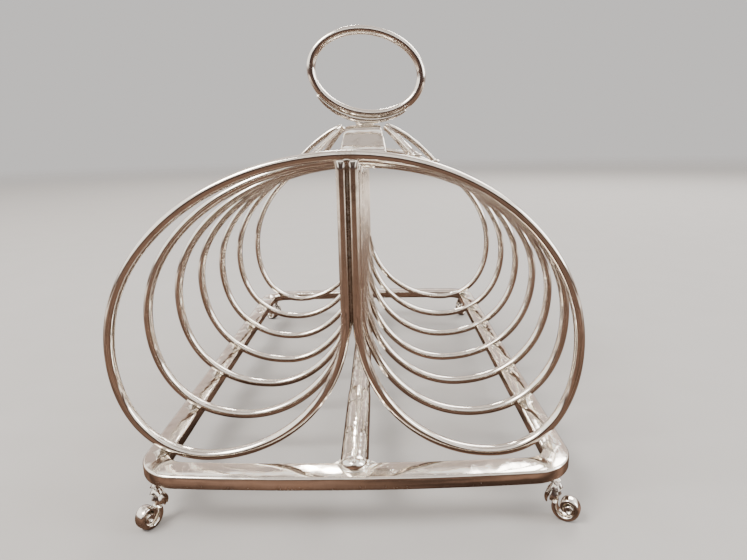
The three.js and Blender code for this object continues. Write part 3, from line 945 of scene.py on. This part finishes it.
def foot_leaf(skin, top_z):
    """Acanthus knee: tiers of lobes that open downwards, each tucked in under the one above."""
    steps = 120
    length = top_z - LEAF_FOOT_Z
    rings = []
    for i in range(steps + 1):
        share = i / steps
        # a stalk under the frame, fullest at its middle, drawn in above the scroll
        full = 0.50 + 0.50 * smooth_step(0.0, 0.38, share)
        full *= math.sqrt(max(0.10, 1 - max(0.0, (share - 0.55) / 0.47) ** 2))
        ring = []
        for k in range(44):
            turn = 2 * math.pi * k / 44
            tier = leaf_tier(share, turn)
            open_out = tier / 0.86 if tier < 0.86 else (1 - tier) / 0.14
            # a vein runs down each lobe
            vein = 0.05 * math.cos(6 * turn)
            reach = full * (0.50 + 0.50 * open_out + vein)
            ring.append(Vector((
                leaf_middle(share) + 1.50 * reach * math.cos(turn),
                1.45 * reach * math.sin(turn),
                top_z - length * share,
            )))
        rings.append(ring)

    def crevice(p):
        share = (top_z - p.z) / length
        tier = leaf_tier(share, math.atan2(p.y, p.x - leaf_middle(share)))
        tucked = max(smooth_step(0.90, 0.98, tier), smooth_step(0.22, 0.0, tier))
        return 0.7 * tucked + 0.4 * smooth_step(top_z - 0.5, top_z - 0.1, p.z)

    skin.loft(rings, crevice=crevice)


def foot_leaf_tip(skin):
    """The leaf's point, curled inwards behind the scroll, with a small leaf on each side of it."""
    for y, size, drop in ((0.0, 1.0, 0.0), (0.85, 0.7, 0.9), (-0.85, 0.7, 0.9)):
        guide = (
            (-0.5, y, 5.7 + drop),
            (-1.5, y, 4.9 + drop),
            (-1.95, y, 3.9 + drop),
            (-1.5, y * 1.1, 2.9 + drop),
        )
        path = even_path(bezier_points(guide, 30), 0.12)
        last = len(path) - 1

        def section(i):
            slim = math.sin(math.pi * (0.25 + 0.72 * i / last))
            return oval((0.12 + 0.34 * slim) * size, (0.18 + 0.62 * slim) * size, 2.0, 16)

        def crevice(p):
            return 0.45 * smooth_step(4.5, 5.6, p.z)

        sweep(skin, path, section, lambda tangent: ALONG_RACK, crevice=crevice)


def feet(material):
    for end, side_y in (("front", -1), ("rear", 1)):
        for side, side_x in (("left", -1), ("right", 1)):
            node = f"foot_{end}_{side}"
            top_z = mm_box(node)[1].z + LEAF_INTO_FRAME
            skin = Skin()
            foot_scroll(skin)
            foot_eye(skin)
            foot_leaf(skin, top_z)
            foot_leaf_tip(skin)
            # the skin is drawn about MIDDLE, so it is turned there before it is moved
            turn = Matrix.Rotation(math.atan2(side_y, side_x) + FOOT_TURN, 4, "Z")
            centre = Matrix.Translation(-MIDDLE * MM)
            corner = Vector((side_x * FOOT_X, side_y * FOOT_Y, 0))
            move = Matrix.Translation((corner + MIDDLE) * MM)
            bmesh.ops.transform(skin.bm, matrix=move @ turn @ centre, verts=skin.bm.verts[:])
            skin.finish(f"{node}_scroll", material, node)


# ------------------------------------------------------------------ rack


def rack():
    wire = silver(
        "hoop_wire", rough=(0.045, 0.13),
        waves=(110.0, 0.16), scratches=(1.0, 0.12, 1.0), tarnish=0.22,
    )
    strip = silver(
        "frame_strip", rough=(0.05, 0.15),
        waves=(85.0, 0.42), scratches=(0.9, 0.08, 1.0), tarnish=0.28,
    )
    bar = silver(
        "centre_bar", rough=(0.05, 0.15),
        waves=(120.0, 0.45), scratches=(1.0, 0.06, 1.0), tarnish=0.28,
    )
    ring = silver(
        "ring_band", rough=(0.06, 0.17),
        waves=(90.0, 0.22), scratches=(0.5, 1.0, 0.5), tarnish=0.22,
    )
    cast = silver(
        "handle_cast", rough=(0.06, 0.18),
        waves=(160.0, 0.30), scratches=(1.0, 0.2, 1.0), tarnish=0.30,
    )
    foot = silver("foot_cast", rough=(0.07, 0.20), waves=(220.0, 0.25), tarnish=0.34, pits=0.6)
    solder = silver(
        "solder", tint=(0.86, 0.84, 0.80), rough=(0.09, 0.22),
        waves=(260.0, 0.40), tarnish=0.40, pits=0.4,
    )
    base_frame(strip)
    centre_rail(bar, solder)
    for index in range(HOOP_COUNT):
        hoop(index, wire, solder)
    handle_ring(ring)
    ring_cradle(cast)
    handle_saddle(cast)
    ribs(cast)
    feet(foot)


# ------------------------------------------------------------------ studio

# The studio is laid out in metres.
FLOOR_RADIUS = 3.0


def floor():
    """Plain pale floor that fades into the backdrop far away; to glossy rays it shows a painted
    reflection of a dark table instead.
    """
    bm = bmesh.new()
    bmesh.ops.create_circle(bm, cap_ends=True, segments=96, radius=FLOOR_RADIUS)
    mesh = bpy.data.meshes.new("floor")
    bm.to_mesh(mesh)
    bm.free()
    material = bpy.data.materials.new("floor_paper_and_painted_reflection")
    material.use_nodes = True
    tree = material.node_tree
    shader = tree.nodes["Principled BSDF"]
    shader.inputs["Roughness"].default_value = 1.0
    shader.inputs["Specular IOR Level"].default_value = 0.0
    coords = tree.nodes.new("ShaderNodeTexCoord").outputs["Object"]
    away = tree.nodes.new("ShaderNodeVectorMath")
    away.operation = "LENGTH"
    tree.links.new(coords, away.inputs[0])
    fleck = noise_node(tree, coords, 45.0, 3.0)
    paper = mix_colour(tree, fleck, (0.43, 0.415, 0.40), (0.46, 0.445, 0.43))
    # painted reflection: to glossy rays the floor is a dark wood-grained table that is painted
    # brighter towards the room's edge, so the silver reflects it in place of the pale floor
    far = ramp(tree, 0.14, 0.75)
    tree.links.new(away.outputs["Value"], far.inputs["Value"])
    # painted highlight: the reflected table is painted brighter far from the rack and towards the
    # sides and back, which paints bright lines on the silver's lower edges
    split = tree.nodes.new("ShaderNodeSeparateXYZ")
    tree.links.new(coords, split.inputs["Vector"])
    aside = math_node(tree, "ABSOLUTE", split.outputs["X"], 0.0)
    behind = math_node(tree, "DIVIDE", plus(tree, aside, split.outputs["Y"]), away.outputs["Value"])
    painted_glow_side = ramp(tree, -0.25, 0.55)
    tree.links.new(behind, painted_glow_side.inputs["Value"])
    painted_highlight_glow = math_node(tree, "MULTIPLY", far.outputs["Result"], painted_glow_side.outputs["Result"])
    grain = ramp(tree, 0.35, 0.70)
    tree.links.new(noise_node(tree, coords, 60.0, 4.0, (0.25, 1.0, 1.0)), grain.inputs["Value"])
    painted_reflection_wood = mix_colour(tree, grain.outputs["Result"], (0.032, 0.020, 0.015), (0.150, 0.092, 0.068))
    painted_reflection_table = mix_colour(tree, painted_highlight_glow, painted_reflection_wood, (0.62, 0.56, 0.51))
    # glossy rays get the painted reflection of the table, all other rays the pale paper
    mirrored = tree.nodes.new("ShaderNodeLightPath").outputs["Is Glossy Ray"]
    tree.links.new(mix_colour(tree, mirrored, paper, painted_reflection_table), shader.inputs["Base Color"])
    fade = ramp(tree, 0.7, FLOOR_RADIUS, 1.0, 0.0)
    tree.links.new(away.outputs["Value"], fade.inputs["Value"])
    tree.links.new(fade.outputs["Result"], shader.inputs["Alpha"])
    mesh.materials.append(material)
    piece = bpy.data.objects.new("floor", mesh)
    bpy.context.scene.collection.objects.link(piece)


def world():
    """Pale backdrop for the view; for the silver, a dim warm room with a bright ceiling and sides."""
    made = bpy.data.worlds.new("studio")
    bpy.context.scene.world = made
    made.use_nodes = True
    tree = made.node_tree
    background = tree.nodes["Background"]
    coords = tree.nodes.new("ShaderNodeTexCoord").outputs["Generated"]
    split = tree.nodes.new("ShaderNodeSeparateXYZ")
    tree.links.new(coords, split.inputs["Vector"])
    # bands of wall, window and ceiling by height: behind the viewer, then behind the rack
    near_end = bands(tree, split.outputs["Z"], (
        (0.00, (0.055, 0.034, 0.028)),
        (0.18, (0.030, 0.019, 0.017)),
        (0.38, (0.045, 0.033, 0.029)),
        (0.47, (1.0, 0.97, 0.93)),
        (0.56, (0.95, 0.92, 0.88)),
        (0.64, (0.24, 0.20, 0.185)),
        (0.74, (0.30, 0.26, 0.24)),
        (0.82, (1.0, 0.99, 0.97)),
        (0.91, (0.36, 0.32, 0.30)),
    ))
    far_end = bands(tree, split.outputs["Z"], (
        (0.00, (0.20, 0.155, 0.140)),
        (0.13, (0.24, 0.185, 0.165)),
        (0.20, (0.95, 0.90, 0.85)),
        (0.26, (0.40, 0.33, 0.30)),
        (0.44, (0.34, 0.275, 0.25)),
        (0.53, (0.30, 0.245, 0.225)),
        (0.60, (1.0, 0.97, 0.93)),
        (0.67, (0.30, 0.255, 0.235)),
        (0.78, (0.32, 0.28, 0.26)),
        (0.86, (1.0, 0.99, 0.97)),
        (0.93, (0.36, 0.32, 0.30)),
    ))
    turned = ramp(tree, -0.25, 0.35)
    tree.links.new(split.outputs["Y"], turned.inputs["Value"])
    room = mix_colour(tree, turned.outputs["Result"], near_end, far_end)
    # tall bright windows on both sides of the room, with a dark gap where the viewer stands
    aside = math_node(tree, "ABSOLUTE", split.outputs["X"], 0.0)
    window = ramp(tree, 0.52, 0.74)
    tree.links.new(aside, window.inputs["Value"])
    low = ramp(tree, 0.06, 0.24)
    tree.links.new(split.outputs["Z"], low.inputs["Value"])
    pane = math_node(tree, "MULTIPLY", window.outputs["Result"], low.outputs["Result"])
    walls = mix_colour(tree, pane, room, (1.0, 0.97, 0.93))
    scale = tree.nodes.new("ShaderNodeVectorMath")
    scale.operation = "SCALE"
    scale.inputs["Scale"].default_value = 2.1
    tree.links.new(walls, scale.inputs[0])
    seen = tree.nodes.new("ShaderNodeLightPath").outputs["Is Camera Ray"]
    colour = mix_colour(tree, seen, scale.outputs["Vector"], (0.75, 0.725, 0.705))
    tree.links.new(colour, background.inputs["Color"])


def bands(tree, height, stops):
    """Colours by height, each blended softly into the next."""
    node = tree.nodes.new("ShaderNodeValToRGB")
    node.color_ramp.interpolation = "EASE"
    elements = node.color_ramp.elements
    elements[0].position, elements[0].color = stops[0][0], (*stops[0][1], 1)
    elements[1].position, elements[1].color = stops[-1][0], (*stops[-1][1], 1)
    for position, colour in stops[1:-1]:
        elements.new(position).color = (*colour, 1)
    tree.links.new(height, node.inputs["Fac"])
    return node.outputs["Color"]


def softbox(name, place, target, size, power, colour):
    light = bpy.data.lights.new(name, "AREA")
    light.shape = "RECTANGLE"
    light.size, light.size_y = size
    light.energy = power
    light.color = colour
    made = bpy.data.objects.new(name, light)
    made.location = place
    made.rotation_euler = (Vector(target) - Vector(place)).to_track_quat("-Z", "Y").to_euler()
    made.visible_camera = False
    bpy.context.scene.collection.objects.link(made)


def lights():
    centre = (0, 0, 0.05)
    softbox("key", (-0.55, -0.35, 0.85), centre, (0.5, 0.35), 11.0, (1.0, 0.965, 0.92))
    softbox("top", (0.50, 0.80, 0.75), centre, (0.6, 0.35), 9.0, (1.0, 0.98, 0.95))
    softbox("lamp", (-0.12, 1.2, 0.75), centre, (0.14, 0.10), 3.0, (1.0, 0.95, 0.88))
    softbox("side", (0.95, -0.15, 0.45), centre, (0.25, 0.5), 5.0, (0.88, 0.94, 1.0))


def camera():
    """Eye just above the rack's front end, looking down its length."""
    place = Vector((0.0063, -0.1831, 0.0780)) + MIDDLE * MM
    yaw, pitch, roll = -0.0132, 0.2306, 0.0211
    ahead = math.cos(pitch)
    forward = Vector((math.sin(yaw) * ahead, math.cos(yaw) * ahead, -math.sin(pitch)))
    level = Vector((math.cos(yaw), -math.sin(yaw), 0))
    below = forward.cross(level)
    right = level * math.cos(roll) + below * math.sin(roll)
    down = below * math.cos(roll) - level * math.sin(roll)
    data = bpy.data.cameras.new("camera")
    data.sensor_width = 36.0
    data.lens = 27.95
    data.clip_start = 0.005
    data.clip_end = 30.0
    made = bpy.data.objects.new("camera", data)
    bpy.context.scene.collection.objects.link(made)
    made.matrix_world = Matrix((
        (right.x, -down.x, -forward.x, place.x),
        (right.y, -down.y, -forward.y, place.y),
        (right.z, -down.z, -forward.z, place.z),
        (0, 0, 0, 1),
    ))
    bpy.context.scene.camera = made


camera()
rack()
floor()
world()
lights()
